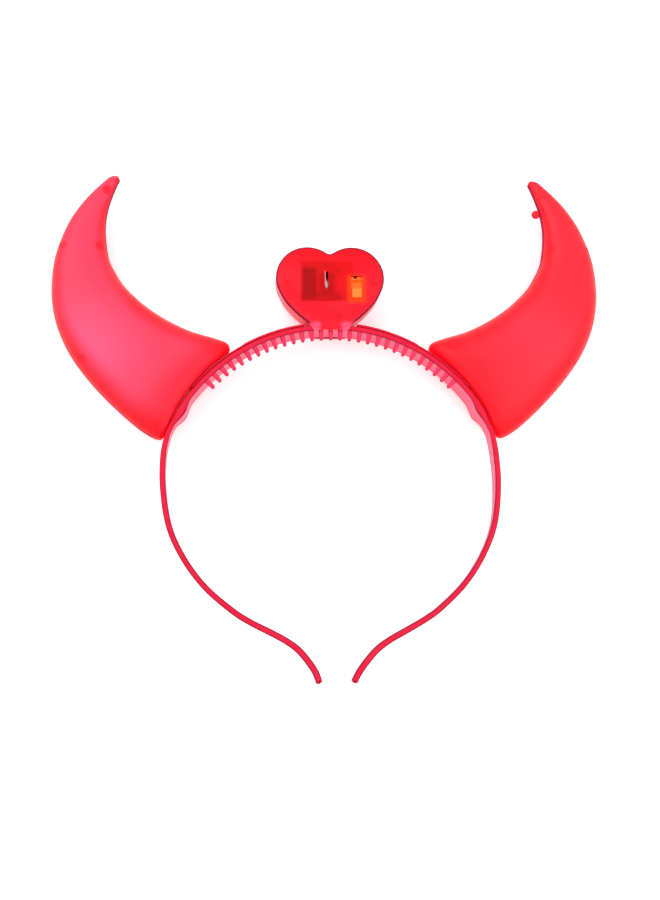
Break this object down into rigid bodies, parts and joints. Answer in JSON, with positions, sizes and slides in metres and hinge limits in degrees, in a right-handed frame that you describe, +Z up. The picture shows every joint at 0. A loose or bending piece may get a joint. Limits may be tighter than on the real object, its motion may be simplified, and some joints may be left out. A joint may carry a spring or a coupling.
{
  "type": "devil horns headband",
  "caption": "Light-up headband of translucent plastic with two hollow curved horns, an inner comb and a heart-shaped battery box with a slide switch on the crown.",
  "frame": {"origin": "centre of the bounding box in X and Y, on the surface that the headband lies on", "axes": "+X across the head towards the horn with the small nub, +Y from the open ends of the hoop towards the crown, +Z up through the heart's front face"},
  "size_m": [0.2236, 0.2069, 0.022],
  "materials": {
    "hoop_plastic": "smooth translucent red",
    "horn_plastic": "smooth translucent red, lighter where it is thin",
    "heart_plastic": "smooth translucent red",
    "holder_plastic": "matt dark red",
    "cell_steel": "plain nickel",
    "switch_plastic": "matt dark orange",
    "knob_plastic": "matt bright orange"
  },
  "bodies": {
    "headpiece": {"headband": "hoop_plastic", "wire_channel_left": "hoop_plastic", "wire_channel_right": "hoop_plastic", "horn_left_front": "horn_plastic", "horn_left_back": "horn_plastic", "horn_right_front": "horn_plastic", "horn_right_back": "horn_plastic", "heart_front": "heart_plastic", "heart_back": "heart_plastic", "battery_holder": "holder_plastic", "button_cell_1": "cell_steel", "button_cell_2": "cell_steel", "button_cell_3": "cell_steel", "switch_body": "switch_plastic"},
    "slider": {"switch_knob": "knob_plastic"}
  },
  "joints": [
    {"name": "switch_slide", "type": "slide", "parent": "headpiece", "child": "slider", "axis": [0, 1, 0], "range_m": [0, 0.0039]}
  ]
}
